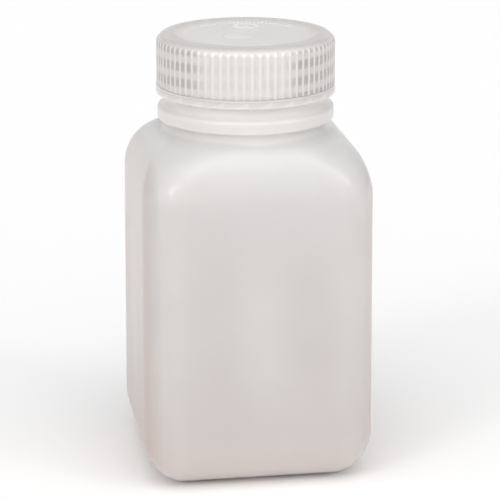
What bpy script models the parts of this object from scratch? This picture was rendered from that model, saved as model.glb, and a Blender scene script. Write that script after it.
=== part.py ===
"""Square wide-mouth reagent bottle with a ribbed screw cap, a tamper-evident band and a sealing disc.

The bottle stands on its base at the world origin, with the neck's axis along +Z and its four flat
faces square to X and Y. Each piece is one closed solid, shown with the cap screwed down and the
band's bridges already parted, so that every piece can move on its own.
"""

import math

import bmesh
import bpy

# Body of the bottle
BODY_HALF_WIDTH = 0.03690
BODY_WIDTH_HEIGHT = 0.060  # where the half width above is measured
BODY_TAPER = 0.0091  # share of the width lost over one BODY_WIDTH_HEIGHT
BODY_CORNER = 0.01286
BASE_FILLET = 0.0157
BASE_RECESS_HALF = 0.0160
BASE_RECESS_DEPTH = 0.0015
WALL = 0.0013
SHOULDER_BOTTOM = 0.0943
SHOULDER_TOP = 0.1116
SHOULDER_RADIUS = 0.0237  # the round that the shoulder closes towards
SHOULDER_RISE_POWER = 1.82
SHOULDER_INSET_POWER = 2.15

# Neck
BORE_RADIUS = 0.0220
STEM_RADIUS = 0.0253
COLLAR_RADIUS = 0.0283
COLLAR_BOTTOM = 0.1153
COLLAR_TOP = 0.1183
NECK_RADIUS = 0.0258  # between the collar and the bead
BEAD_RADIUS = 0.0269
BEAD_BOTTOM = 0.12505
THREAD_ROOT = 0.0250
THREAD_CREST = 0.0262
NECK_TOP = 0.1383

# Thread, single start and right hand
PITCH = 0.0051
FRONT_ANGLE = math.radians(-99.0)
CAP_RIDGE_AT_FRONT = 0.1329  # height of the ridge's middle, at FRONT_ANGLE
CAP_RIDGE_SPAN = (0.1276, 0.1376)
NECK_RIDGE_AT_FRONT = CAP_RIDGE_AT_FRONT - PITCH / 2
NECK_RIDGE_SPAN = (0.1279, 0.1366)

# Screw cap
CAP_TOP = 0.1419
CAP_BOTTOM = 0.1260
CAP_RIM_FILLET = 0.0026
CAP_RECESS_RADIUS = 0.0212
CAP_RECESS_DEPTH = 0.0007
CAP_UNDERSIDE = 0.1401
CAP_BORE = 0.0266
CAP_RIDGE_CREST = 0.0254
RIB_COUNT = 72
RIB_TIP = 0.0285
RIB_ROOT = 0.0279
SKIRT_FLARE = 0.0001  # how far the skirt's foot stands out
SKIRT_FLARE_TOP = 0.1285
BOSS_RADIUS = 0.0046
BOSS_HEIGHT = 0.0003
BOSS_PLACE = (0.0021, 0.0134)
BRIDGE_COUNT = 12
BRIDGE_LENGTH = 0.0002

# Tamper-evident band
BAND_BOTTOM = 0.1231
BAND_TOP = 0.1255
BAND_FOOT_RADIUS = 0.0287
BAND_HEAD_RADIUS = 0.0286
BAND_BORE = 0.0274
TOOTH_COUNT = 24
TOOTH_TIP = 0.02615
TOOTH_HEIGHT = 0.0017
TOOTH_RAMP = math.radians(9.0)
TOOTH_STOP_ANGLE = FRONT_ANGLE + math.radians(1.6)  # the upright face of one tooth
NECK_TOOTH_WIDTH = math.radians(3.0)
NECK_TOOTH_CLEARANCE = math.radians(1.2)
NECK_TOOTH_BOTTOM = 0.1220

# Sealing disc
DISC_RADIUS = 0.0250
DISC_BOTTOM = 0.1386
DISC_TOP = 0.1398
DISC_EDGE = 0.0003

# Fineness of the meshes
CORNER_POINTS = 12  # points on each quarter of the bottle's sections
EMBED = 0.0004  # how far a joined-on feature sinks into its piece
RIDGE_STEP = math.radians(9.0)

NATURAL_HDPE = (0.80, 0.79, 0.77)
NATURAL_PP = (0.76, 0.75, 0.74)
WHITE_LDPE = (0.84, 0.84, 0.83)


def clear_scene():
    for item in list(bpy.data.objects):
        bpy.data.objects.remove(item, do_unlink=True)


def plastic(name, color, roughness):
    material = bpy.data.materials.new(name)
    material.use_nodes = True
    shader = material.node_tree.nodes["Principled BSDF"]
    shader.inputs["Base Color"].default_value = (*color, 1.0)
    shader.inputs["Roughness"].default_value = roughness
    shader.inputs["Metallic"].default_value = 0.0
    shader.inputs["IOR"].default_value = 1.5
    return material


def section(half_width, corner, height):
    """One level outline: a square with round corners, or a circle where corner equals half_width."""
    points = []
    for index in range(4 * CORNER_POINTS):
        angle = (index + 0.5) * math.pi / (2 * CORNER_POINTS)
        centre = half_width - corner
        x = math.copysign(centre, math.cos(angle)) + corner * math.cos(angle)
        y = math.copysign(centre, math.sin(angle)) + corner * math.sin(angle)
        points.append((x, y, height))
    return points


def circle(radius, height, count):
    step = 2 * math.pi / count
    return [
        (radius * math.cos(i * step), radius * math.sin(i * step), height) for i in range(count)
    ]


def ribbed_circle(tip, root, height):
    """A circle with one point on each rib's tip and one in each groove."""
    step = math.pi / RIB_COUNT
    radii = (tip, root)
    return [
        (radii[i % 2] * math.cos(i * step), radii[i % 2] * math.sin(i * step), height)
        for i in range(2 * RIB_COUNT)
    ]


def loft(mesh_builder, rings, closed=False):
    """Joins level rings of equal point counts into one skin, with flat ends unless it closes on itself."""
    loops = [[mesh_builder.verts.new(point) for point in ring] for ring in rings]
    pairs = list(zip(loops, loops[1:]))
    if closed:
        pairs.append((loops[-1], loops[0]))
    count = len(loops[0])
    for low, high in pairs:
        for i in range(count):
            j = (i + 1) % count
            mesh_builder.faces.new((low[i], low[j], high[j], high[i]))
    if not closed:
        mesh_builder.faces.new(list(reversed(loops[0])))
        mesh_builder.faces.new(loops[-1])


def wedge(mesh_builder, outline, inner, outer):
    """A tooth on a cylinder: an outline of (angle, height) points carried from one radius to another."""
    rings = []
    for radius in (inner, outer):
        rings.append(
            [(radius * math.cos(a), radius * math.sin(a), height) for a, height in outline]
        )
    loft(mesh_builder, rings)


def ridge(mesh_builder, front_height, span, base, crest, base_width, crest_width):
    """A helical ridge between two heights, on the outside when crest is beyond base."""
    first = FRONT_ANGLE + (span[0] - front_height) / PITCH * 2 * math.pi
    last = FRONT_ANGLE + (span[1] - front_height) / PITCH * 2 * math.pi
    steps = round((last - first) / RIDGE_STEP)
    rings = []
    for i in range(steps + 1):
        angle = first + (last - first) * i / steps
        middle = span[0] + (span[1] - span[0]) * i / steps
        corners = (
            (base, middle - base_width / 2),
            (crest, middle - crest_width / 2),
            (crest, middle + crest_width / 2),
            (base, middle + base_width / 2),
        )
        rings.append([(r * math.cos(angle), r * math.sin(angle), z) for r, z in corners])
    loft(mesh_builder, rings)


def new_object(name, mesh_builder, material):
    """Turns a bmesh into a smooth-shaded object with its faces pointing out."""
    bmesh.ops.recalc_face_normals(mesh_builder, faces=mesh_builder.faces)
    mesh = bpy.data.meshes.new(name)
    mesh_builder.to_mesh(mesh)
    mesh_builder.free()
    mesh.shade_smooth()
    mesh.set_sharp_from_angle(angle=math.radians(35))
    mesh.materials.append(material)
    item = bpy.data.objects.new(name, mesh)
    bpy.context.scene.collection.objects.link(item)
    return item


def join_on(target, guide):
    """Unites a guide's shape with the target and keeps the guide out of the model."""
    guide.hide_render = True
    guide.display_type = "WIRE"
    guide.parent = target
    union = target.modifiers.new(guide.name, "BOOLEAN")
    union.operation = "UNION"
    union.solver = "EXACT"
    union.object = guide


def body_half_width(height):
    return BODY_HALF_WIDTH * (1 - BODY_TAPER * (height / BODY_WIDTH_HEIGHT - 1))


def base_rings(offset):
    """The recess, the standing rim and the rounded foot, offset inwards for the inside."""
    floor = offset
    rings = [
        section(BASE_RECESS_HALF - 0.0030, 0.0060, BASE_RECESS_DEPTH + floor),
        section(BASE_RECESS_HALF, 0.0080, floor),
    ]
    for degrees in (0, 18, 36, 54, 72, 90):
        lean = math.radians(degrees)
        inset = BASE_FILLET - (BASE_FILLET - offset) * math.sin(lean)
        height = BASE_FILLET - (BASE_FILLET - offset) * math.cos(lean)
        half = body_half_width(height) - inset
        rings.append(section(half, max(BODY_CORNER - inset, 0.0035), height))
    return rings


def shoulder_rings(offset, end_radius, shares):
    """The shoulder's sections, from the square body in towards the neck."""
    top = SHOULDER_TOP - offset
    rings = []
    for share in shares:
        inset = 1 - (1 - share**SHOULDER_RISE_POWER) ** (1 / SHOULDER_INSET_POWER)
        height = SHOULDER_BOTTOM + (top - SHOULDER_BOTTOM) * share
        half = body_half_width(height) - offset
        rings.append(
            section(
                (1 - inset) * half + inset * end_radius,
                (1 - inset) * (BODY_CORNER - offset) + inset * end_radius,
                height,
            )
        )
    return rings


def neck_profile():
    """Radius and height along the outside of the neck, from the stem to the rim."""
    return [
        (STEM_RADIUS + 0.0006, SHOULDER_TOP + 0.0008),
        (STEM_RADIUS, SHOULDER_TOP + 0.0020),
        (STEM_RADIUS, COLLAR_BOTTOM - 0.0002),
        (COLLAR_RADIUS - 0.0006, COLLAR_BOTTOM + 0.0002),
        (COLLAR_RADIUS, COLLAR_BOTTOM + 0.0008),
        (COLLAR_RADIUS, COLLAR_TOP),
        (COLLAR_RADIUS - 0.0005, COLLAR_TOP + 0.0007),
        (NECK_RADIUS + 0.0008, COLLAR_TOP + 0.0018),
        (NECK_RADIUS, COLLAR_TOP + 0.0026),
        (NECK_RADIUS, BEAD_BOTTOM),
        (BEAD_RADIUS, BEAD_BOTTOM + 0.0003),
        (BEAD_RADIUS, BEAD_BOTTOM + 0.0005),
        (THREAD_ROOT, BEAD_BOTTOM + 0.0012),
        (THREAD_ROOT, NECK_TOP - 0.0005),
        (THREAD_ROOT - 0.0005, NECK_TOP),
        (BORE_RADIUS + 0.0004, NECK_TOP),
        (BORE_RADIUS, NECK_TOP - 0.0004),
        (BORE_RADIUS, SHOULDER_TOP + 0.0010),
    ]


def make_bottle(material):
    outside = shoulder_rings(0.0, SHOULDER_RADIUS, (0.0, 0.25, 0.45, 0.62, 0.76, 0.87, 0.95))
    inside = shoulder_rings(WALL, BORE_RADIUS, (0.0, 0.30, 0.55, 0.76, 0.90, 0.98))
    neck = [section(radius, radius, height) for radius, height in neck_profile()]
    rings = base_rings(0.0) + outside + neck + list(reversed(inside)) + list(reversed(base_rings(WALL)))
    builder = bmesh.new()
    loft(builder, rings)
    bottle = new_object("bottle", builder, material)
    join_on(bottle, neck_thread_guide(material))
    join_on(bottle, neck_teeth_guide(material))
    return bottle


def neck_thread_guide(material):
    builder = bmesh.new()
    ridge(
        builder,
        NECK_RIDGE_AT_FRONT,
        NECK_RIDGE_SPAN,
        THREAD_ROOT - EMBED,
        THREAD_CREST,
        base_width=0.0026,
        crest_width=0.0012,
    )
    return new_object("neck_thread_guide", builder, material)


def neck_teeth_guide(material):
    """Stops on the neck that sit in the gaps between the band's teeth."""
    builder = bmesh.new()
    for index in range(TOOTH_COUNT):
        start = TOOTH_STOP_ANGLE + NECK_TOOTH_CLEARANCE + index * 2 * math.pi / TOOTH_COUNT
        end = start + NECK_TOOTH_WIDTH
        outline = [
            (start, NECK_TOOTH_BOTTOM),
            (end, NECK_TOOTH_BOTTOM),
            (end, BEAD_BOTTOM + 0.0004),
            (start, BEAD_BOTTOM + 0.0004),
        ]
        wedge(builder, outline, NECK_RADIUS - EMBED, BEAD_RADIUS - 0.0003)
    return new_object("neck_teeth_guide", builder, material)


def make_cap(material):
    count = 2 * RIB_COUNT
    inner = [
        (0.0230, CAP_UNDERSIDE),
        (CAP_BORE - 0.0006, CAP_UNDERSIDE),
        (CAP_BORE, CAP_UNDERSIDE - 0.0006),
        (CAP_BORE, CAP_BOTTOM + 0.0003),
        (CAP_BORE + 0.0003, CAP_BOTTOM),
    ]
    ribs_top = CAP_TOP - CAP_RIM_FILLET
    crown = RIB_ROOT - CAP_RIM_FILLET
    lean = math.radians(45)
    mid_radius = crown + CAP_RIM_FILLET * math.sin(lean)
    mid_height = ribs_top + CAP_RIM_FILLET * math.cos(lean)
    outer = [
        ribbed_circle(RIB_TIP + SKIRT_FLARE, RIB_ROOT + SKIRT_FLARE, CAP_BOTTOM),
        ribbed_circle(RIB_TIP, RIB_ROOT, SKIRT_FLARE_TOP),
        ribbed_circle(RIB_TIP, RIB_ROOT, ribs_top),
        ribbed_circle(mid_radius + 0.0004, mid_radius, mid_height),
        circle(crown, CAP_TOP, count),
        circle(CAP_RECESS_RADIUS + 0.0008, CAP_TOP, count),
        circle(CAP_RECESS_RADIUS, CAP_TOP - CAP_RECESS_DEPTH, count),
    ]
    builder = bmesh.new()
    loft(builder, [circle(radius, height, count) for radius, height in inner] + outer)
    cap = new_object("screw_cap", builder, material)
    join_on(cap, cap_thread_guide(material))
    join_on(cap, bridges_guide(material))
    join_on(cap, boss_guide(material))
    return cap


def cap_thread_guide(material):
    builder = bmesh.new()
    ridge(
        builder,
        CAP_RIDGE_AT_FRONT,
        CAP_RIDGE_SPAN,
        CAP_BORE + EMBED,
        CAP_RIDGE_CREST,
        base_width=0.0026,
        crest_width=0.0011,
    )
    return new_object("cap_thread_guide", builder, material)


def bridges_guide(material):
    """The stubs that once joined the cap to its band."""
    builder = bmesh.new()
    half_angle = math.radians(0.9)
    for index in range(BRIDGE_COUNT):
        middle = (index + 0.5) * 2 * math.pi / BRIDGE_COUNT
        outline = [
            (middle - half_angle, CAP_BOTTOM - BRIDGE_LENGTH),
            (middle + half_angle, CAP_BOTTOM - BRIDGE_LENGTH),
            (middle + half_angle, CAP_BOTTOM + EMBED),
            (middle - half_angle, CAP_BOTTOM + EMBED),
        ]
        wedge(builder, outline, CAP_BORE + 0.0005, RIB_ROOT - 0.0001)
    return new_object("bridges_guide", builder, material)


def boss_guide(material):
    """The low round boss on the cap's top, off the centre."""
    floor = CAP_TOP - CAP_RECESS_DEPTH
    builder = bmesh.new()
    loft(
        builder,
        [
            circle(BOSS_RADIUS, floor - EMBED, 40),
            circle(BOSS_RADIUS, floor, 40),
            circle(BOSS_RADIUS - BOSS_HEIGHT, floor + BOSS_HEIGHT, 40),
        ],
    )
    boss = new_object("boss_guide", builder, material)
    boss.location = (*BOSS_PLACE, 0)
    return boss


def make_band(material):
    count = 4 * TOOTH_COUNT
    profile = [
        (BAND_BORE, BAND_BOTTOM),
        (BAND_FOOT_RADIUS - 0.0003, BAND_BOTTOM),
        (BAND_FOOT_RADIUS, BAND_BOTTOM + 0.0003),
        (BAND_HEAD_RADIUS, BAND_TOP - 0.0002),
        (BAND_HEAD_RADIUS - 0.0002, BAND_TOP),
        (BAND_BORE, BAND_TOP),
    ]
    builder = bmesh.new()
    loft(builder, [circle(radius, height, count) for radius, height in profile], closed=True)
    band = new_object("tamper_band", builder, material)
    join_on(band, band_teeth_guide(material))
    return band


def band_teeth_guide(material):
    """Sawteeth inside the band, each rising along its ramp to an upright stop."""
    builder = bmesh.new()
    foot = BAND_BOTTOM + 0.0001
    for index in range(TOOTH_COUNT):
        stop = TOOTH_STOP_ANGLE + index * 2 * math.pi / TOOTH_COUNT
        outline = [
            (stop - TOOTH_RAMP, foot),
            (stop, foot),
            (stop, BAND_BOTTOM + TOOTH_HEIGHT),
            (stop - TOOTH_RAMP * 0.15, BAND_BOTTOM + TOOTH_HEIGHT),
        ]
        wedge(builder, outline, TOOTH_TIP, BAND_BORE + EMBED)
    return new_object("band_teeth_guide", builder, material)


def make_disc(material):
    count = 4 * CORNER_POINTS
    profile = [
        (DISC_RADIUS - DISC_EDGE, DISC_BOTTOM),
        (DISC_RADIUS, DISC_BOTTOM + DISC_EDGE),
        (DISC_RADIUS, DISC_TOP - DISC_EDGE),
        (DISC_RADIUS - DISC_EDGE, DISC_TOP),
    ]
    builder = bmesh.new()
    loft(builder, [circle(radius, height, count) for radius, height in profile])
    return new_object("sealing_disc", builder, material)


def main():
    clear_scene()
    bottle = make_bottle(plastic("natural_hdpe", NATURAL_HDPE, 0.45))
    polypropylene = plastic("natural_polypropylene", NATURAL_PP, 0.38)
    disc = make_disc(plastic("white_ldpe", WHITE_LDPE, 0.50))
    cap = make_cap(polypropylene)
    band = make_band(polypropylene)
    for piece, carrier in ((disc, bottle), (cap, disc), (band, bottle)):
        piece.parent = carrier


main()
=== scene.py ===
"""Looks for the square wide-mouth reagent bottle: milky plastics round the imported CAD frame."""

import math

import bpy
import numpy as np
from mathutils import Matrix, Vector


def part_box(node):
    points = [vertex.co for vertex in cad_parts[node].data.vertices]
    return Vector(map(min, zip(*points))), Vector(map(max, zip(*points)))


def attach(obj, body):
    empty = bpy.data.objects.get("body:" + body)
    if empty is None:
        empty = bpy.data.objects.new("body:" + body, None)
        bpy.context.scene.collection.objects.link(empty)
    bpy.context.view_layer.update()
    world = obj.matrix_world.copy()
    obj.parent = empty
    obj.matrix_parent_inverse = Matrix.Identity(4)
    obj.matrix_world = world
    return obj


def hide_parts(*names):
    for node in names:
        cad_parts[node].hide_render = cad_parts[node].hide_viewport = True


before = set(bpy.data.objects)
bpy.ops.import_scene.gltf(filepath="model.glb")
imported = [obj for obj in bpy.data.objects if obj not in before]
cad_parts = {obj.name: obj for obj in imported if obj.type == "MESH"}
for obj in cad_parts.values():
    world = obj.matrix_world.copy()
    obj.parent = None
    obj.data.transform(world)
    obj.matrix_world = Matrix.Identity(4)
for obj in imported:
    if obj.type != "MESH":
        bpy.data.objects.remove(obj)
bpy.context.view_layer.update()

MM = 0.001
TURN = 2 * math.pi

# Places read from the frame
NECK_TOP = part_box("bottle")[1].z
CAP_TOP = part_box("screw_cap")[1].z
SKIRT_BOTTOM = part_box("screw_cap")[0].z  # at the ends of the bridge stubs, which aren't drawn
BAND_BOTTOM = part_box("tamper_band")[0].z
BAND_RISE = 0.24 * MM  # how far the band's top stands above the one in the frame
BAND_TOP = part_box("tamper_band")[1].z + BAND_RISE
BAND_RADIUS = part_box("tamper_band")[1].x
DISC_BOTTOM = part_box("sealing_disc")[0].z
DISC_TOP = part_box("sealing_disc")[1].z
DISC_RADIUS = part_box("sealing_disc")[1].x

# Body of the bottle
BODY_HALF = 36.9 * MM
BODY_HALF_HEIGHT = 60 * MM  # where BODY_HALF is measured
BODY_TAPER = 0.0091
BODY_CORNER = 12.86 * MM
BASE_FILLET = 15.7 * MM
RECESS_HALF = 16 * MM
RECESS_DEPTH = 1.5 * MM
WALL = 1.3 * MM
SHOULDER_BOTTOM = 94.3 * MM
SHOULDER_TOP = 111.6 * MM
SHOULDER_RADIUS = 23.7 * MM
SHOULDER_RISE_POWER = 1.82
SHOULDER_INSET_POWER = 2.15
PANEL_SAG = 0.18 * MM
SEAM_ANGLES = (math.radians(-135), math.radians(45))
SEAM_HEIGHT = 0.07 * MM
SEAM_WIDTH = 0.30 * MM
PANEL_FOOT = 14 * MM
PANEL_FADE = 30 * MM  # how gradually the panels begin and end

# Neck
BORE = 22.0 * MM
STEM = 25.3 * MM
COLLAR = 28.3 * MM
COLLAR_BOTTOM = 114.5 * MM
COLLAR_TOP = 118.3 * MM
NECK = 25.8 * MM
BEAD = 26.9 * MM
BEAD_BOTTOM = 125.05 * MM
THREAD_ROOT = 25.0 * MM
THREAD_DEPTH = 1.2 * MM
THREAD_WIDTHS = (2.5 * MM, 1.1 * MM)  # at its base and at its crest
PITCH = 5.1 * MM
FRONT = math.radians(-99)
BACK = FRONT + math.pi
CAP_RIDGE_AT_FRONT = 132.9 * MM
CAP_RIDGE_SPAN = (127.6 * MM, 137.6 * MM)
NECK_RIDGE_AT_FRONT = CAP_RIDGE_AT_FRONT - PITCH / 2
NECK_RIDGE_SPAN = (127.9 * MM, 136.6 * MM)
NECK_TOOTH_BOTTOM = 122.0 * MM

# Cap
CAP_BORE = 26.6 * MM
CAP_UNDERSIDE = 140.1 * MM
CAP_FILLET = 2.7 * MM
RIB_COUNT = 72
RIB_TIP = 28.5 * MM
RIB_ROOT = 28.28 * MM
MILKY_SPAN = (122 * MM, 142 * MM)  # where the thread shows through the skirt
MILKY_WIDTHS = (3.4 * MM, 1.4 * MM)
NOTCH_DROP = 2.0 * MM  # from the cap's top down to the darker notches between the ribs' ends
SKIRT_FLARE = 0.1 * MM
SKIRT_FLARE_TOP = 128.5 * MM
RECESS_RADIUS = 21.2 * MM
CAP_RECESS_DEPTH = 0.7 * MM
BOSS_RADIUS = 4.6 * MM
BOSS_HEIGHT = 0.28 * MM
BOSS_PLACE = (2.1 * MM, 13.4 * MM)
MARK_RADIUS = 4.4 * MM
MARK_PLACE = (-3.4 * MM, -2.8 * MM)
TICK_RADIUS = 19.3 * MM
TICK_PITCH = math.radians(4)
TICK_SPAN = math.radians(50)

# Band
BAND_BORE = 27.4 * MM
TOOTH_COUNT = 24
TOOTH_TIP = 26.15 * MM
TOOTH_HEIGHT = 1.7 * MM
TOOTH_RAMP = math.radians(9)
TOOTH_STOP = FRONT + math.radians(1.6)

# Camera
CAMERA_DISTANCE = 734.6 * MM
CAMERA_HEIGHT = 285.3 * MM
CAMERA_HEADING = math.radians(9.02)
CAMERA_PAN = math.radians(0.11)
CAMERA_TILT = math.radians(16.36)
CAMERA_LENS = 168.7
SENSOR_WIDTH = 36

# Plastics: linear colours, and how far light spreads in them in metres
IOR = 1.5
COAT_ROUGHNESS = 0.08
ROUGHNESS_SPREAD = 0.03
RIPPLE_DEPTH = 0.05 * MM
HDPE_DEPTH = (0.0060, 0.0055, 0.0050)
POLYPROPYLENE_DEPTH = (0.0038, 0.0038, 0.0037)
LDPE_DEPTH = (0.0015, 0.0014, 0.0013)
BOTTLE_COLORS = [  # from the base up to the neck's rim
    (0.00, (0.61, 0.530, 0.500)),
    (0.15, (0.59, 0.520, 0.495)),
    (0.45, (0.63, 0.570, 0.548)),
    (0.72, (0.69, 0.642, 0.620)),
    (0.79, (0.69, 0.665, 0.650)),
    (0.83, (0.655, 0.638, 0.628)),
]
# Painted shade: the bottle's left and right sides are coloured darker, the left more than the
# right.
BOTTLE_SIDE_SHADE = [  # from the left side across to the right
    (0.00, (0.84, 0.77, 0.745)),
    (0.07, (1.00, 1.00, 1.00)),
    (0.93, (1.00, 1.00, 1.00)),
    (1.00, (0.91, 0.86, 0.84)),
]
# Painted light: the neck, with the grooves above and below the collar, is coloured paler, standing
# in for light coming through the cap, band and collar.
NECK_LIGHT_COLOR = (0.88, 0.845, 0.82)
# The same ramp also colours the painted shade darker and the painted light paler.
CLOSURE_COLORS = [  # from clear to milky
    (0.0, (0.47, 0.447, 0.445)),
    (0.8, (0.71, 0.675, 0.655)),
    (1.0, (0.95, 0.905, 0.88)),
]
DISC_COLORS = [(0.3, (0.86, 0.86, 0.85)), (0.7, (0.90, 0.90, 0.89))]
PATCH_TINTS = [(0.3, (0.96, 0.955, 0.95)), (0.7, (1.0, 1.0, 1.0))]

# Stage
FLOOR_SIZE = 4.0
FLOOR_DROP = 0.2 * MM
SWEEP_TOWARDS = (math.cos(FRONT) * 0.94, math.sin(FRONT) * 0.94, 0.34)
BACKDROP_TOWARDS = (math.cos(BACK), math.sin(BACK), 0)


def smooth_step(share):
    share = np.clip(share, 0.0, 1.0)
    return share * share * (3 - 2 * share)


def even_angles(count):
    return np.arange(count) * TURN / count


def off_centre(angles, pitch):
    """Distance to the nearest whole multiple of the pitch, as a share of the pitch."""
    return np.abs(np.mod(angles + pitch / 2, pitch) - pitch / 2) / pitch


# ---------------------------------------------------------------- shapes


def square_radius(angles, half, corner):
    """Distance from the axis to the outline of a square with round corners, in each direction."""
    run = np.abs(np.cos(angles))
    rise = np.abs(np.sin(angles))
    flat = half / np.maximum(run, rise)
    centre = half - corner
    along = centre * (run + rise)
    arc = along + np.sqrt(np.maximum(along**2 - 2 * centre**2 + corner**2, 0.0))
    return np.where(flat * np.minimum(run, rise) <= centre, flat, arc)


def rounded_path(corners, step):
    """A profile of (radius, height) points, at most a step apart.

    It runs through corners given as (radius, height, rounding).
    """
    points = [Vector(corner[:2]) for corner in corners]
    dense = [points[0]]
    for before, here, after, corner in zip(points, points[1:], points[2:], corners[1:]):
        reach = min(corner[2], (here - before).length / 2, (after - here).length / 2)
        start = here + (before - here).normalized() * reach
        end = here + (after - here).normalized() * reach
        dense.append(start)
        if reach > 0:
            for share in (0.25, 0.5, 0.75):
                near, far = (1 - share) ** 2, share**2
                dense.append(start * near + here * 2 * share * (1 - share) + end * far)
            dense.append(end)
    dense.append(points[-1])
    path = [dense[0]]
    for point in dense[1:]:
        gap = (point - path[-1]).length
        if gap < 1e-7:
            continue
        last = path[-1]
        for index in range(1, math.ceil(gap / step) + 1):
            path.append(last.lerp(point, index / math.ceil(gap / step)))
    return np.array([[point.x, point.y] for point in path])


def turned(path, angles):
    """The radii and the heights of a turned profile, with one row for each of its points."""
    return [np.repeat(path[:, axis, None], len(angles), axis=1) for axis in (0, 1)]


def helix_ridge(angles, heights, at_front, span, widths):
    """How far in its profile, from 0 to 1, each point of a cylinder lies on a helical ridge."""
    base_width, crest_width = widths
    total = np.zeros(np.broadcast(angles, heights).shape)
    turned = np.mod(angles - FRONT, TURN) / TURN
    lead = PITCH / 9
    for turn in range(-3, 3):
        middle = at_front + PITCH * (turned + turn)
        flank = (base_width / 2 - np.abs(heights - middle)) / ((base_width - crest_width) / 2)
        ends = smooth_step((middle - span[0]) / lead) * smooth_step((span[1] - middle) / lead)
        total = np.maximum(total, smooth_step(flank) * ends)
    return total


def placed(name, data):
    thing = bpy.data.objects.new(name, data)
    bpy.context.scene.collection.objects.link(thing)
    return thing


def skin(name, angles, radii, heights):
    """A closed mesh from rings of points, with flat caps on its first and last rings."""
    index = np.arange(radii.size).reshape(radii.shape)
    faces = ring_faces(index[:-1], index[1:])
    faces.append(index[0][::-1].tolist())
    faces.append(index[-1].tolist())
    return shown_mesh(name, angles, radii, heights, faces)


def closed_skin(name, angles, radii, heights):
    """A closed mesh like a ring, whose last ring of points joins its first."""
    index = np.arange(radii.size).reshape(radii.shape)
    return shown_mesh(name, angles, radii, heights, ring_faces(index, np.roll(index, -1, 0)))


def ring_faces(low, high):
    quads = np.stack([low, np.roll(low, -1, 1), np.roll(high, -1, 1), high], axis=-1)
    return quads.reshape(-1, 4).tolist()


def shown_mesh(name, angles, radii, heights, faces):
    heights = np.broadcast_to(heights, radii.shape)
    points = np.stack([radii * np.cos(angles), radii * np.sin(angles), heights], axis=-1)
    mesh = bpy.data.meshes.new(name)
    mesh.from_pydata(points.reshape(-1, 3).tolist(), [], faces)
    mesh.validate()
    mesh.shade_smooth()
    return placed(name, mesh)


def set_milkiness_light_and_shade(piece, values):
    """Stores how milky the plastic looks at each point, from 0 where thin to 1 where thick, with
    painted light and painted shade added in.
    """
    layer = piece.data.attributes.new("milkiness_light_and_shade", "FLOAT", "POINT")
    layer.data.foreach_set("value", np.ascontiguousarray(values, dtype=np.float32).ravel())


# ---------------------------------------------------------------- bottle


def body_half(height):
    return BODY_HALF * (1 - BODY_TAPER * (height / BODY_HALF_HEIGHT - 1))


def base_sections(offset):
    """(half width, corner, height) from the middle of the base out to the foot of the walls."""
    sections = []
    for share in np.linspace(0.05, 0.8, 6):
        sections.append((RECESS_HALF * share, RECESS_HALF * share * 0.5, RECESS_DEPTH + offset))
    for share in np.linspace(0, 1, 7):
        half = RECESS_HALF * (0.82 + 0.18 * share)
        sections.append((half, half * 0.5, RECESS_DEPTH * (1 - smooth_step(share)) + offset))
    for share in np.linspace(0, 1, 18):
        lean = share * math.pi / 2
        inset = BASE_FILLET - (BASE_FILLET - offset) * math.sin(lean)
        height = BASE_FILLET - (BASE_FILLET - offset) * math.cos(lean)
        half = body_half(height) - inset
        sections.append((half, max(BODY_CORNER - inset, 3.5 * MM), height))
    return sections


def wall_sections(offset):
    """The straight walls, between the base's fillet and the shoulder."""
    heights = np.linspace(BASE_FILLET, SHOULDER_BOTTOM, 14)[1:-1]
    return [(body_half(height) - offset, BODY_CORNER - offset, height) for height in heights]


def shoulder_sections(offset, end_radius, last_share):
    top = SHOULDER_TOP - offset
    sections = []
    for share in np.sin(np.linspace(0, math.pi / 2, 28)) * last_share:
        inset = 1 - (1 - share**SHOULDER_RISE_POWER) ** (1 / SHOULDER_INSET_POWER)
        height = SHOULDER_BOTTOM + (top - SHOULDER_BOTTOM) * share
        half = body_half(height) - offset
        corner = (1 - inset) * (BODY_CORNER - offset) + inset * end_radius
        sections.append(((1 - inset) * half + inset * end_radius, corner, height))
    return sections


def blend_sections(start, radius, height):
    """The hollow fillet that carries the shoulder up into the round stem."""
    sections = []
    middle = (radius + 0.3 * MM, radius, height - 2.6 * MM)
    end = (radius, radius, height)
    for share in np.linspace(0, 1, 12)[1:]:
        weights = ((1 - share) ** 2, 2 * share * (1 - share), share**2)
        columns = zip(start, middle, end)
        sections.append(tuple(sum(w * p for w, p in zip(weights, column)) for column in columns))
    return sections


def neck_outside():
    """The neck's turned profile, from the top of the stem to the rim and down into the bore."""
    corners = [
        (STEM, SHOULDER_TOP + 2.6 * MM, 0),
        (STEM, COLLAR_BOTTOM, 0.6 * MM),
        (COLLAR, COLLAR_BOTTOM + 0.4 * MM, 0.5 * MM),
        (COLLAR, COLLAR_TOP + 0.3 * MM, 0.6 * MM),
        (NECK, COLLAR_TOP + 2.1 * MM, 1.2 * MM),
        (NECK, BEAD_BOTTOM, 0.2 * MM),
        (BEAD, BEAD_BOTTOM + 0.3 * MM, 0.2 * MM),
        (BEAD, BEAD_BOTTOM + 0.5 * MM, 0.2 * MM),
        (THREAD_ROOT, BEAD_BOTTOM + 1.2 * MM, 0.4 * MM),
        (THREAD_ROOT, NECK_TOP, 0.5 * MM),
        (BORE, NECK_TOP, 0.5 * MM),
        (BORE, NECK_TOP - 1.0 * MM, 0),
    ]
    bore = rounded_path([corners[-1], (BORE, SHOULDER_TOP + 1.0 * MM, 0)], 1.5 * MM)
    return np.concatenate([rounded_path(corners, 0.4 * MM), bore[1:]])


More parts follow.
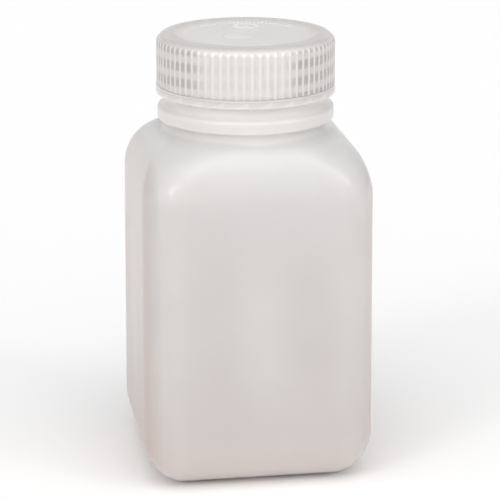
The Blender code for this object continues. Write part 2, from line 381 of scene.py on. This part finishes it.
def neck_details(angles, path):
    """The neck's radii with its thread and its ratchet teeth standing out."""
    radii, heights = turned(path, angles)
    outside = path[:, :1] > THREAD_ROOT - 0.02 * MM
    thread = helix_ridge(
        angles[None, :], heights, NECK_RIDGE_AT_FRONT, NECK_RIDGE_SPAN, THREAD_WIDTHS
    )
    radii = radii + np.where(outside, thread * THREAD_DEPTH, 0)
    pitch = TURN / TOOTH_COUNT
    from_stop = np.mod(angles - TOOTH_STOP, pitch)[None, :]
    off_middle = np.abs(from_stop - math.radians(2.7))
    across = smooth_step(1 - (off_middle - math.radians(1.2)) / math.radians(0.5))
    up = smooth_step((heights - NECK_TOOTH_BOTTOM) / (0.6 * MM))
    below_bead = heights < BEAD_BOTTOM + 0.3 * MM
    tooth = np.where(outside & below_bead, across * up, 0)
    return np.maximum(radii, radii + (BEAD - 0.3 * MM - radii) * tooth)


def bottle_angles():
    """Even steps, closer together beside the seams."""
    fine = np.linspace(-0.6, 0.6, 13) * SEAM_WIDTH / (BODY_HALF * 1.25) * 3
    extra = np.concatenate([np.mod(seam + fine, TURN) for seam in SEAM_ANGLES])
    return np.unique(np.round(np.concatenate([even_angles(320), extra]), 6))


def up_the_walls(heights, top):
    """From 0 at the foot and the top of the walls to 1 between them."""
    rise = smooth_step((heights - PANEL_FOOT) / PANEL_FADE)
    return rise * smooth_step((top - heights) / PANEL_FADE)


def shaped_walls(angles, sections, outside):
    radii = np.array([square_radius(angles, half, corner) for half, corner, _ in sections])
    heights = np.array([height for _, _, height in sections])[:, None]
    flat = np.minimum(np.abs(np.cos(angles)), np.abs(np.sin(angles)))
    middle = smooth_step(1 - flat / math.sin(math.radians(36)))
    tall = up_the_walls(heights, SHOULDER_BOTTOM + 4 * MM)
    radii = radii - PANEL_SAG * middle[None, :] * tall
    if outside:
        for seam in SEAM_ANGLES:
            away = np.abs(np.mod(angles - seam + math.pi, TURN) - math.pi)[None, :] * radii
            radii = radii + SEAM_HEIGHT * smooth_step(1 - away / SEAM_WIDTH)
    return radii, np.broadcast_to(heights, radii.shape)


def make_bottle():
    angles = bottle_angles()
    outer = base_sections(0.0) + wall_sections(0.0)
    outer += shoulder_sections(0.0, SHOULDER_RADIUS, last_share=0.93)
    outer += blend_sections(outer[-1], STEM, SHOULDER_TOP + 2.4 * MM)
    inner = base_sections(WALL) + wall_sections(WALL)
    inner += shoulder_sections(WALL, BORE, last_share=0.995)
    path = neck_outside()
    outer_radii, outer_heights = shaped_walls(angles, outer, True)
    inner_radii, inner_heights = shaped_walls(angles, inner[::-1], False)
    neck_radii = neck_details(angles, path)
    neck_heights = turned(path, angles)[1]
    radii = np.concatenate([outer_radii, neck_radii, inner_radii])
    heights = np.concatenate([outer_heights, neck_heights, inner_heights])
    bottle = skin("bottle_shell", angles, radii, heights)
    near_neck = smooth_step((heights - SHOULDER_TOP + 3.0 * MM) / (3.0 * MM))
    # painted light on the neck inside the collar's radius, over the shade in its grooves
    neck_light = near_neck * smooth_step((COLLAR - 0.3 * MM - radii) / (1.8 * MM))
    tall = up_the_walls(heights, SHOULDER_BOTTOM)
    in_the_walls = (0.5 + 0.5 * np.cos(8 * angles))[None, :] * tall
    set_milkiness_light_and_shade(bottle, neck_light + 0.15 * in_the_walls)
    bottle.data.materials.append(hdpe())
    return bottle


# ---------------------------------------------------------------- closure


def rib_profile(angles):
    """From 0 in the flats between the ribs to 1 on their rounded tops."""
    return smooth_step((0.27 - off_centre(angles, TURN / RIB_COUNT)) / 0.18)


def cap_inside():
    edge = (CAP_BORE - 1 * MM, CAP_UNDERSIDE, 0)
    underside = rounded_path([(0.5 * MM, CAP_UNDERSIDE, 0), edge], 4 * MM)
    wall = rounded_path(
        [
            edge,
            (CAP_BORE, CAP_UNDERSIDE, 0.6 * MM),
            (CAP_BORE, SKIRT_BOTTOM, 0.3 * MM),
            (RIB_ROOT - 0.2 * MM, SKIRT_BOTTOM, 0),
        ],
        0.4 * MM,
    )
    return np.concatenate([underside, wall[1:]])


def cap_outside():
    crown = RIB_ROOT - CAP_FILLET
    fillet = [
        (crown + CAP_FILLET * math.sin(lean), CAP_TOP - CAP_FILLET + CAP_FILLET * math.cos(lean))
        for lean in np.linspace(math.pi / 2, 0, 14)
    ]
    skirt = rounded_path(
        [
            (RIB_ROOT + SKIRT_FLARE, SKIRT_BOTTOM, 0),
            (RIB_ROOT, SKIRT_FLARE_TOP, 0.4 * MM),
            (*fillet[0], 0),
        ],
        0.7 * MM,
    )
    top = rounded_path(
        [
            (crown, CAP_TOP, 0),
            (RECESS_RADIUS + 1.6 * MM, CAP_TOP, 1.3 * MM),
            (RECESS_RADIUS - 1.4 * MM, CAP_TOP - CAP_RECESS_DEPTH, 1.5 * MM),
            (0.3 * MM, CAP_TOP - CAP_RECESS_DEPTH, 0),
        ],
        0.36 * MM,
    )
    return np.concatenate([skirt, np.array(fillet)[1:], top[1:]])


def top_relief(angles, radii):
    """The raised marks on the cap's recessed top: a round boss, a round mark and a row of ticks."""
    across = radii * np.cos(angles)
    along = radii * np.sin(angles)
    from_boss = np.hypot(across - BOSS_PLACE[0], along - BOSS_PLACE[1])
    boss = smooth_step(1.4 - np.abs(from_boss - BOSS_RADIUS + 0.9 * MM) / (0.7 * MM))
    boss = np.maximum(boss, 0.6 * smooth_step(1 - from_boss / (1.6 * MM)))
    from_mark = np.hypot(across - MARK_PLACE[0], along - MARK_PLACE[1])
    inside = smooth_step((MARK_RADIUS - from_mark) / (0.3 * MM))
    rim = smooth_step(1 - np.abs(from_mark - MARK_RADIUS + 0.5 * MM) / (0.5 * MM))
    weave = 0.5 + 0.5 * np.sin(across * TURN / (1.7 * MM)) * np.sin(along * TURN / (1.7 * MM))
    mark = 0.6 * np.maximum(rim, weave) * inside
    from_back = np.mod(angles - BACK + math.pi, TURN) - math.pi
    off_tick = np.abs(np.mod(from_back, TICK_PITCH) - TICK_PITCH / 2)
    tick = smooth_step((off_tick - 0.22 * TICK_PITCH) / (0.1 * TICK_PITCH))
    row = smooth_step((0.9 * MM - np.abs(radii - TICK_RADIUS)) / (0.3 * MM))
    row = row * (np.abs(from_back) < TICK_SPAN)
    recessed = radii < RECESS_RADIUS - 0.7 * MM
    return np.maximum(np.maximum(boss, mark), 0.7 * tick * row) * recessed


def make_cap():
    angles = even_angles(RIB_COUNT * 8)
    inner_radii, inner_heights = turned(cap_inside(), angles)
    outer_radii, outer_heights = turned(cap_outside(), angles)
    ridge = helix_ridge(
        angles[None, :], inner_heights, CAP_RIDGE_AT_FRONT, CAP_RIDGE_SPAN, THREAD_WIDTHS
    )
    on_wall = inner_radii > CAP_BORE - 0.02 * MM
    inner_radii = inner_radii - np.where(on_wall, ridge * THREAD_DEPTH, 0)
    rib_top = CAP_TOP - CAP_FILLET * 0.40
    fade = smooth_step((rib_top - outer_heights) / (0.5 * MM))
    outer_radii = outer_radii + rib_profile(angles)[None, :] * (RIB_TIP - RIB_ROOT) * fade
    on_top = outer_heights > CAP_TOP - CAP_RECESS_DEPTH - 0.01 * MM
    relief = np.where(on_top, top_relief(angles[None, :], outer_radii), 0)
    outer_heights = outer_heights + relief * BOSS_HEIGHT
    cap = skin(
        "ribbed_cap",
        angles,
        np.concatenate([inner_radii, outer_radii]),
        np.concatenate([inner_heights, outer_heights]),
    )
    milky_outside_with_light_and_shade = cap_milkiness_light_and_shade(angles, outer_radii, outer_heights) + 0.25 * relief
    set_milkiness_light_and_shade(cap, np.concatenate([np.full(inner_radii.shape, 0.8), milky_outside_with_light_and_shade]))
    cap.data.materials.append(polypropylene("natural_polypropylene"))
    return cap


def cap_milkiness_light_and_shade(angles, radii, heights):
    """The skirt is milky on its ribs and over its thread, with painted shade darkening its windows
    and ribs towards its left and right sides, painted highlights at the ribs' ends and painted
    light at the recess's edge, on the recessed top and along its bottom edge.
    """
    ridge = helix_ridge(angles[None, :], heights, CAP_RIDGE_AT_FRONT, MILKY_SPAN, MILKY_WIDTHS)
    rib = smooth_step((0.21 - off_centre(angles, TURN / RIB_COUNT)) / 0.07)[None, :]
    # painted shade: clear windows darkest to the left and right of the front, nearly milky in front
    off_front = np.abs(np.sin(angles - FRONT))
    skirt_side_shade = (0.12 + 0.88 * smooth_step((off_front - 0.40) / 0.25))[None, :]
    between = (1 - 0.85 * ridge) * (1 - rib)
    above = smooth_step((CAP_TOP - 1.6 * MM - heights) / (0.6 * MM))
    below = smooth_step((heights - SKIRT_BOTTOM) / (0.8 * MM))
    off_notch = np.abs(heights - CAP_TOP + NOTCH_DROP)
    # darker notches between the ribs' ends, deepened by the painted side shade
    notch = 0.7 * skirt_side_shade * (1 - rib) * smooth_step(1.5 - off_notch / (0.6 * MM))
    # painted highlight at the ribs' ends
    rib_end_highlight = rib * smooth_step(1.5 - off_notch / (0.5 * MM))
    crown = smooth_step((heights - CAP_TOP + 1.6 * MM) / (1.2 * MM))
    crown = crown * smooth_step((radii - 20 * MM) / (2 * MM))
    # painted light at the recess's edge, over the shade of the recess wall
    edge = smooth_step(1.2 - np.abs(radii - RECESS_RADIUS) / (1.6 * MM))
    clear_and_side_shade = np.maximum(between * skirt_side_shade * above * below, notch)
    crown_share = crown * (1 - 0.6 * edge)
    recessed = smooth_step((RECESS_RADIUS + 1.2 * MM - radii) / (3 * MM))
    # painted light along the skirt's bottom edge, over the shade of the slit to the band
    crevice_light = smooth_step((SKIRT_BOTTOM + 0.7 * MM - heights) / (0.4 * MM))
    # painted shade over the skirt's left and right sides
    sides_shade = 0.14 * skirt_side_shade * smooth_step((CAP_TOP - 0.5 * MM - heights) / (1 * MM))
    # painted light on the recessed top
    top_light = 0.05 * recessed * (heights > CAP_TOP - 1 * MM)
    milky_with_light_and_shade = 0.8 * (1 - clear_and_side_shade - 0.66 * crown_share)
    return milky_with_light_and_shade + 0.12 * rib_end_highlight - sides_shade + top_light + 0.15 * crevice_light


def make_band():
    angles = even_angles(TOOTH_COUNT * 30)
    outer = rounded_path(
        [
            (BAND_BORE, BAND_BOTTOM, 0),
            (BAND_RADIUS, BAND_BOTTOM, 0.4 * MM),
            (BAND_RADIUS - 0.1 * MM, BAND_TOP, 0.04 * MM),
            (BAND_BORE, BAND_TOP, 0),
        ],
        0.1 * MM,
    )
    inner = rounded_path([(BAND_BORE, BAND_TOP, 0), (BAND_BORE, BAND_BOTTOM, 0)], 0.1 * MM)[1:-1]
    outer_radii = turned(outer, angles)[0]
    heights = np.concatenate([outer[:, 1], inner[:, 1]])[:, None]
    pitch = TURN / TOOTH_COUNT
    before_stop = np.mod(TOOTH_STOP - angles, pitch)
    ramp = TOOTH_HEIGHT * np.clip(1 - (before_stop - TOOTH_RAMP * 0.15) / (TOOTH_RAMP * 0.85), 0, 1)
    cover = smooth_step((BAND_BOTTOM + ramp[None, :] - inner[:, 1:]) / (0.12 * MM) + 0.5)
    cover = np.where(ramp[None, :] > 0, cover, 0)
    inner_radii = BAND_BORE - (BAND_BORE - TOOTH_TIP) * cover
    radii = np.concatenate([outer_radii, inner_radii])
    band = closed_skin("tamper_ring", angles, radii, heights)
    # painted highlight lines along the teeth's edges and the band's bottom edge
    edge = np.abs(heights - BAND_BOTTOM - np.maximum(ramp[None, :], 0.15 * MM))
    on_teeth = heights < BAND_BOTTOM + ramp[None, :]
    milky_with_light_and_shade = np.maximum(0.65 + 0.20 * on_teeth, smooth_step(1.6 - edge / (0.14 * MM)))
    # painted light along the band's top edge, over the shade of the slit under the skirt
    crevice_light = smooth_step((heights - BAND_TOP + 0.6 * MM) / (0.3 * MM))
    set_milkiness_light_and_shade(band, np.maximum(0.8 * milky_with_light_and_shade, 0.95 * crevice_light))
    band.data.materials.append(polypropylene("banded_polypropylene"))
    return band


def make_disc():
    path = rounded_path(
        [
            (0.5 * MM, DISC_BOTTOM, 0),
            (DISC_RADIUS, DISC_BOTTOM, 0.3 * MM),
            (DISC_RADIUS, DISC_TOP, 0.3 * MM),
            (0.5 * MM, DISC_TOP, 0),
        ],
        1.0 * MM,
    )
    angles = even_angles(144)
    disc = skin("seal_liner", angles, *turned(path, angles))
    disc.data.materials.append(ldpe())
    return disc


# ---------------------------------------------------------------- materials


def plastic(name, roughness, coat, depth, grain, grain_height):
    """Milky plastic with a fine moulded grain and slow ripples, still without its colour."""
    material = bpy.data.materials.new(name)
    material.use_nodes = True
    tree = material.node_tree
    shader = tree.nodes["Principled BSDF"]
    shader.inputs["Subsurface Weight"].default_value = 1.0
    shader.inputs["Subsurface Radius"].default_value = depth
    shader.inputs["Subsurface Scale"].default_value = 1.0
    shader.inputs["IOR"].default_value = IOR
    shader.inputs["Coat Weight"].default_value = coat
    shader.inputs["Coat Roughness"].default_value = COAT_ROUGHNESS
    place = tree.nodes.new("ShaderNodeTexCoord").outputs["Object"]

    spread = (roughness - ROUGHNESS_SPREAD, roughness + ROUGHNESS_SPREAD)
    gloss = mapped(tree, noise(tree, place, scale=220, detail=4), (0, 1), spread)
    tree.links.new(gloss, shader.inputs["Roughness"])

    ripple = bump(tree, noise(tree, place, scale=40, detail=2), RIPPLE_DEPTH, None)
    fine = bump(tree, noise(tree, place, scale=grain, detail=3), grain_height, ripple)
    tree.links.new(fine, shader.inputs["Normal"])
    return material, tree, place


def mapped(tree, value, source, target, kind="LINEAR"):
    """The value with its source range mapped to the target range."""
    node = tree.nodes.new("ShaderNodeMapRange")
    node.interpolation_type = kind
    node.inputs["From Min"].default_value, node.inputs["From Max"].default_value = source
    node.inputs["To Min"].default_value, node.inputs["To Max"].default_value = target
    tree.links.new(value, node.inputs["Value"])
    return node.outputs["Result"]


# Reads the milkiness with the painted light and shade in it.
def milkiness_light_and_shade(tree):
    node = tree.nodes.new("ShaderNodeAttribute")
    node.attribute_name = "milkiness_light_and_shade"
    return node.outputs["Fac"]


def color_ramp(tree, value, stops):
    ramp = tree.nodes.new("ShaderNodeValToRGB")
    elements = ramp.color_ramp.elements
    while len(elements) < len(stops):
        elements.new(0.5)
    for element, (position, color) in zip(elements, stops):
        element.position = position
        element.color = (*color, 1)
    tree.links.new(value, ramp.inputs["Fac"])
    return ramp.outputs["Color"]


def clouded(tree, place, color):
    """Colours the shader, with slow uneven patches where the plastic's density varies."""
    patches = color_ramp(tree, noise(tree, place, scale=35, detail=3), PATCH_TINTS)
    shader = tree.nodes["Principled BSDF"]
    tree.links.new(multiplied(tree, color, patches), shader.inputs["Base Color"])


def multiplied(tree, first, second):
    mix = tree.nodes.new("ShaderNodeMix")
    mix.data_type = "RGBA"
    mix.blend_type = "MULTIPLY"
    mix.inputs["Factor"].default_value = 1.0
    tree.links.new(first, mix.inputs["A"])
    tree.links.new(second, mix.inputs["B"])
    return mix.outputs["Result"]


def noise(tree, place, scale, detail):
    texture = tree.nodes.new("ShaderNodeTexNoise")
    texture.inputs["Scale"].default_value = scale
    texture.inputs["Detail"].default_value = detail
    tree.links.new(place, texture.inputs["Vector"])
    return texture.outputs["Fac"]


def bump(tree, height, distance, normal):
    node = tree.nodes.new("ShaderNodeBump")
    node.inputs["Strength"].default_value = 1.0
    node.inputs["Distance"].default_value = distance
    tree.links.new(height, node.inputs["Height"])
    if normal is not None:
        tree.links.new(normal, node.inputs["Normal"])
    return node.outputs["Normal"]


def hdpe():
    """The bottle's plastic, warm low down and lighter towards the neck, with painted shade on its
    left and right sides and painted light on its neck.
    """
    material, tree, place = plastic(
        "natural_hdpe",
        roughness=0.36,
        coat=0.40,
        depth=HDPE_DEPTH,
        grain=2600,
        grain_height=0.0015 * MM,
    )
    parts = tree.nodes.new("ShaderNodeSeparateXYZ")
    tree.links.new(place, parts.inputs["Vector"])
    upwards = mapped(tree, parts.outputs["Z"], (0, NECK_TOP), (0, 1))
    across = mapped(tree, parts.outputs["X"], (-BODY_HALF, BODY_HALF), (0, 1))
    body = tree.nodes.new("ShaderNodeMix")
    body.data_type = "RGBA"
    body.inputs["B"].default_value = (*NECK_LIGHT_COLOR, 1)
    tree.links.new(milkiness_light_and_shade(tree), body.inputs["Factor"])
    tree.links.new(color_ramp(tree, upwards, BOTTLE_COLORS), body.inputs["A"])
    # painted shade on the left and right sides
    bottle_side_shade = color_ramp(tree, across, BOTTLE_SIDE_SHADE)
    clouded(tree, place, multiplied(tree, body.outputs["Result"], bottle_side_shade))
    return material


def polypropylene(name):
    """The closure's plastic, paler where it is milky and where light is painted on, darker where
    shade is painted on.
    """
    material, tree, place = plastic(
        name,
        roughness=0.21,
        coat=0.0,
        depth=POLYPROPYLENE_DEPTH,
        grain=2600,
        grain_height=0.0006 * MM,
    )
    clouded(tree, place, color_ramp(tree, milkiness_light_and_shade(tree), CLOSURE_COLORS))
    return material


def ldpe():
    material, tree, place = plastic(
        "white_ldpe",
        roughness=0.50,
        coat=0.0,
        depth=LDPE_DEPTH,
        grain=1800,
        grain_height=0.002 * MM,
    )
    clouded(tree, place, color_ramp(tree, noise(tree, place, scale=60, detail=3), DISC_COLORS))
    return material


# ---------------------------------------------------------------- stage


def add_camera():
    data = bpy.data.cameras.new("camera")
    data.lens = CAMERA_LENS
    data.sensor_width = SENSOR_WIDTH
    camera = placed("camera", data)
    camera.location = (
        -CAMERA_DISTANCE * math.sin(CAMERA_HEADING),
        -CAMERA_DISTANCE * math.cos(CAMERA_HEADING),
        CAMERA_HEIGHT,
    )
    heading = CAMERA_HEADING + CAMERA_PAN
    level = math.cos(CAMERA_TILT)
    sight = Vector((math.sin(heading) * level, math.cos(heading) * level, -math.sin(CAMERA_TILT)))
    camera.rotation_euler = sight.to_track_quat("-Z", "Y").to_euler()
    bpy.context.scene.camera = camera


def add_floor():
    mesh = bpy.data.meshes.new("floor")
    signs = ((-1, -1), (1, -1), (1, 1), (-1, 1))
    corners = [(across * FLOOR_SIZE, along * FLOOR_SIZE, 0) for across, along in signs]
    mesh.from_pydata(corners, [], [(0, 1, 2, 3)])
    floor = placed("floor", mesh)
    floor.location.z = -FLOOR_DROP
    material = bpy.data.materials.new("pale_floor")
    material.use_nodes = True
    shader = material.node_tree.nodes["Principled BSDF"]
    shader.inputs["Base Color"].default_value = (0.97, 0.97, 0.97, 1)
    shader.inputs["Roughness"].default_value = 0.9
    mesh.materials.append(material)


def soft_light(name, heading, height, width, strength):
    """An even light from this heading and height, as wide as given, all three in degrees."""
    heading, height = math.radians(heading), math.radians(height)
    level = math.cos(height)
    towards = Vector((math.cos(heading) * level, math.sin(heading) * level, math.sin(height)))
    data = bpy.data.lights.new(name, "SUN")
    data.angle = math.radians(width)
    data.energy = strength
    light = placed(name, data)
    light.location = towards * 2
    light.rotation_euler = (-towards).to_track_quat("-Z", "Y").to_euler()


def glow(tree, direction, towards, source, target):
    """A brightness that goes smoothly over the target range as a ray turns to one direction."""
    facing = tree.nodes.new("ShaderNodeVectorMath")
    facing.operation = "DOT_PRODUCT"
    facing.inputs[1].default_value = towards
    tree.links.new(direction, facing.inputs[0])
    return mapped(tree, facing.outputs["Value"], source, target, "SMOOTHSTEP")


def add_world():
    """A white sweep, brightest in front, and a patch at the back that the cap's top mirrors."""
    world = bpy.data.worlds.new("studio")
    bpy.context.scene.world = world
    world.use_nodes = True
    tree = world.node_tree
    background = tree.nodes["Background"]
    background.inputs["Color"].default_value = (1, 1, 1, 1)
    direction = tree.nodes.new("ShaderNodeTexCoord").outputs["Generated"]
    total = tree.nodes.new("ShaderNodeMath")
    sweep = glow(tree, direction, SWEEP_TOWARDS, source=(-0.1, 1), target=(0.36, 1.34))
    tree.links.new(sweep, total.inputs[0])
    backdrop = glow(tree, direction, BACKDROP_TOWARDS, source=(0.75, 0.93), target=(0, 0.46))
    tree.links.new(backdrop, total.inputs[1])
    tree.links.new(total.outputs["Value"], background.inputs["Strength"])


def add_lights():
    soft_light("key_left", heading=-138, height=30, width=17, strength=0.38)
    soft_light("key_right", heading=-38, height=31, width=16, strength=0.27)
    soft_light("top_front", heading=-96, height=70, width=50, strength=0.64)


def main():
    bpy.context.scene.view_settings.view_transform = "Standard"
    bottle = make_bottle()
    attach(bottle, "bottle")
    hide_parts("bottle")
    cap = make_cap()
    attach(cap, "screw_cap")
    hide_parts("screw_cap")
    band = make_band()
    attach(band, "tamper_band")
    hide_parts("tamper_band")
    disc = make_disc()
    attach(disc, "sealing_disc")
    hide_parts("sealing_disc")
    add_floor()
    add_world()
    add_lights()
    add_camera()


main()
